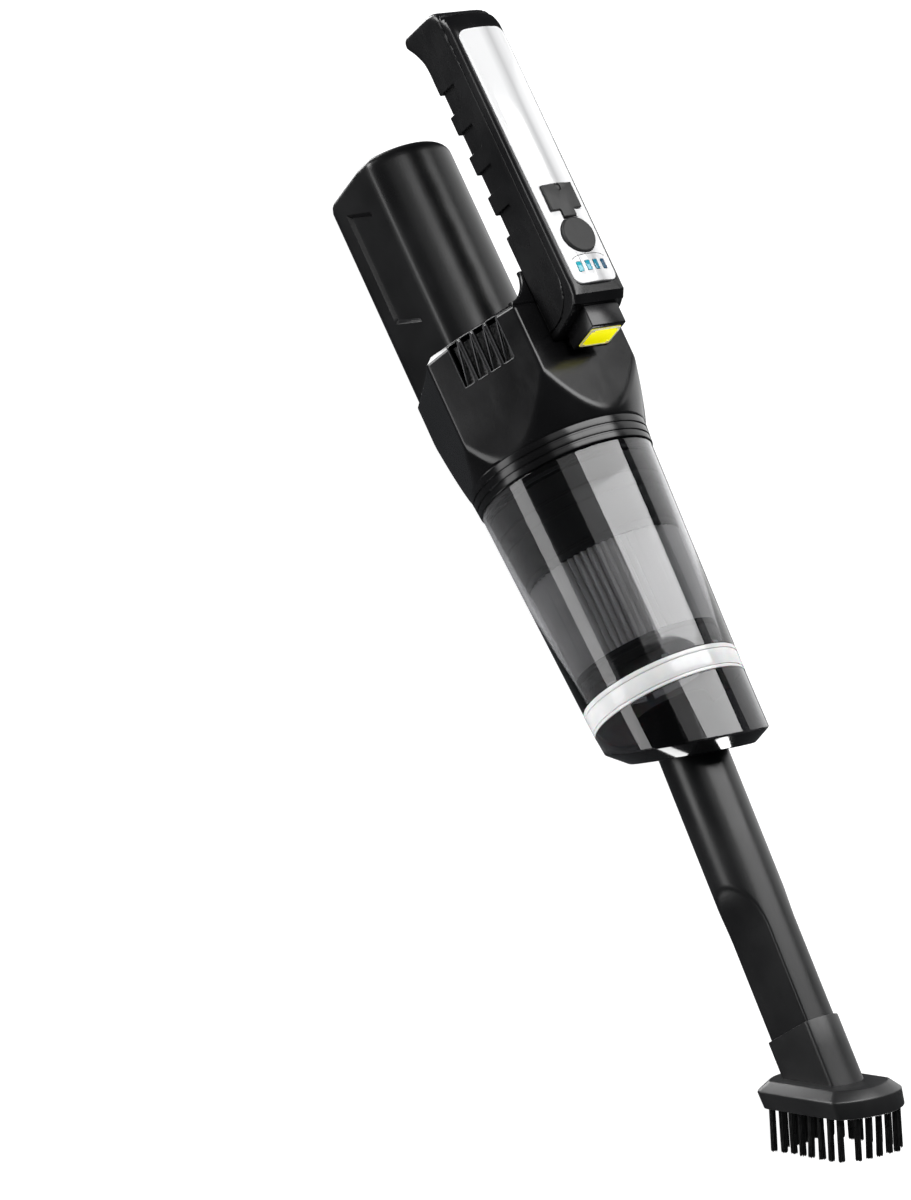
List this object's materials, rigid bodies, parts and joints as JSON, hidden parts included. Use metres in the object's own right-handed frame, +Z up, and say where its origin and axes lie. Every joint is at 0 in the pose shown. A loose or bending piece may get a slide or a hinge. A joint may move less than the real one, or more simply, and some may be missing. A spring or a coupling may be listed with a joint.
{
  "type": "handheld vacuum",
  "caption": "Cordless handheld vacuum with a clear dust cup, pleated filter, top handle with button, port flap and work light, a crevice tool and a push-on brush.",
  "frame": {"origin": "on the flat underside, on the middle plane, below the motor and 40 mm behind the joint of collar and dust cup", "axes": "+X along the dust cup towards the brush, +Z up to the handle, +Y to the object's left seen from behind"},
  "size_m": [0.5128, 0.088, 0.1083],
  "materials": {
    "body_black": "moulded, satin gloss",
    "grip_black": "fine satin",
    "inner_black": "matt",
    "tool_black": "satin",
    "panel_white": "high gloss",
    "rubber_grey": "matt",
    "clear_smoke": "smoked clear",
    "clear_white": "frosted clear",
    "indicator": "clear tinted",
    "lamp_yellow": "clear lens over a yellow lamp",
    "pleat_grey": "pleated paper",
    "foam_grey": "open foam",
    "bristle": "nylon",
    "steel": "plain",
    "copper": "wound copper",
    "magnet_grey": "sintered",
    "fan_grey": "moulded",
    "cell_wrap": "shrink wrap",
    "board_green": "solder mask"
  },
  "bodies": {
    "housing": {"battery_board": "board_green", "battery_case": "body_black", "battery_cells": "cell_wrap", "bearing_front": "steel", "bearing_rear": "steel", "cell_holder_front": "inner_black", "cell_holder_rear": "inner_black", "charge_lights": "indicator", "charge_socket": "inner_black", "collar": "body_black", "control_board": "board_green", "control_panel": "panel_white", "cover_screws": "steel", "cup_seal": "rubber_grey", "exhaust_foam": "foam_grey", "fan_shroud": "inner_black", "handle_cover": "body_black", "handle_grip": "grip_black", "housing_left": "body_black", "housing_right": "body_black", "housing_screws": "steel", "inlet_grille": "inner_black", "lamp_board": "board_green", "lamp_emitter": "lamp_yellow", "lamp_housing": "body_black", "lamp_lens": "lamp_yellow", "motor_can": "steel", "motor_end_bell": "inner_black", "motor_magnets": "magnet_grey", "motor_mount": "inner_black", "motor_screws": "steel", "tact_switch": "inner_black"},
    "power_button": {"power_button": "rubber_grey"},
    "port_cover": {"port_cover": "rubber_grey"},
    "fan": {"impeller": "fan_grey", "motor_shaft": "steel", "motor_rotor": "copper"},
    "filter": {"filter_frame": "inner_black", "filter_pleats": "pleat_grey", "filter_end_cap": "inner_black"},
    "dust_cup": {"dust_cup": "clear_smoke", "cup_ring": "clear_white", "cup_front": "clear_smoke", "nose_cap": "clear_smoke"},
    "inlet_flap": {"inlet_flap": "rubber_grey"},
    "crevice_tool": {"crevice_tool": "tool_black"},
    "brush_head": {"brush_head": "tool_black", "brush_tufts": "bristle", "brush_end_tufts": "bristle"}
  },
  "joints": [
    {"name": "power_button_press", "type": "slide", "parent": "housing", "child": "power_button", "axis": [0, 0, -1], "range_m": [0, 0.001], "stiffness_N_per_m": 900},
    {"name": "port_cover_lift", "type": "hinge", "parent": "housing", "child": "port_cover", "pos_m": [-0.0498, 0, 0.1072], "axis": [0, 1, 0], "range_deg": [0, 95]},
    {"name": "fan_spin", "type": "hinge", "parent": "housing", "child": "fan", "pos_m": [0.02, 0, 0.04], "axis": [1, 0, 0], "continuous": true},
    {"name": "filter_twist", "type": "hinge", "parent": "housing", "child": "filter", "pos_m": [0.04, 0, 0.04], "axis": [1, 0, 0], "range_deg": [0, 20]},
    {"name": "cup_pull", "type": "slide", "parent": "housing", "child": "dust_cup", "axis": [1, 0, 0], "range_m": [0, 0.13]},
    {"name": "inlet_flap_swing", "type": "hinge", "parent": "dust_cup", "child": "inlet_flap", "pos_m": [0.14803, 0, 0.05483], "axis": [0, 1, 0], "range_deg": [0, 35], "stiffness_Nm_per_rad": 0.002},
    {"name": "crevice_pull", "type": "slide", "parent": "dust_cup", "child": "crevice_tool", "axis": [0.9973, 0, -0.0732], "range_m": [0, 0.03]},
    {"name": "brush_pull", "type": "slide", "parent": "crevice_tool", "child": "brush_head", "axis": [0.9973, 0, -0.0732], "range_m": [0, 0.02]}
  ]
}
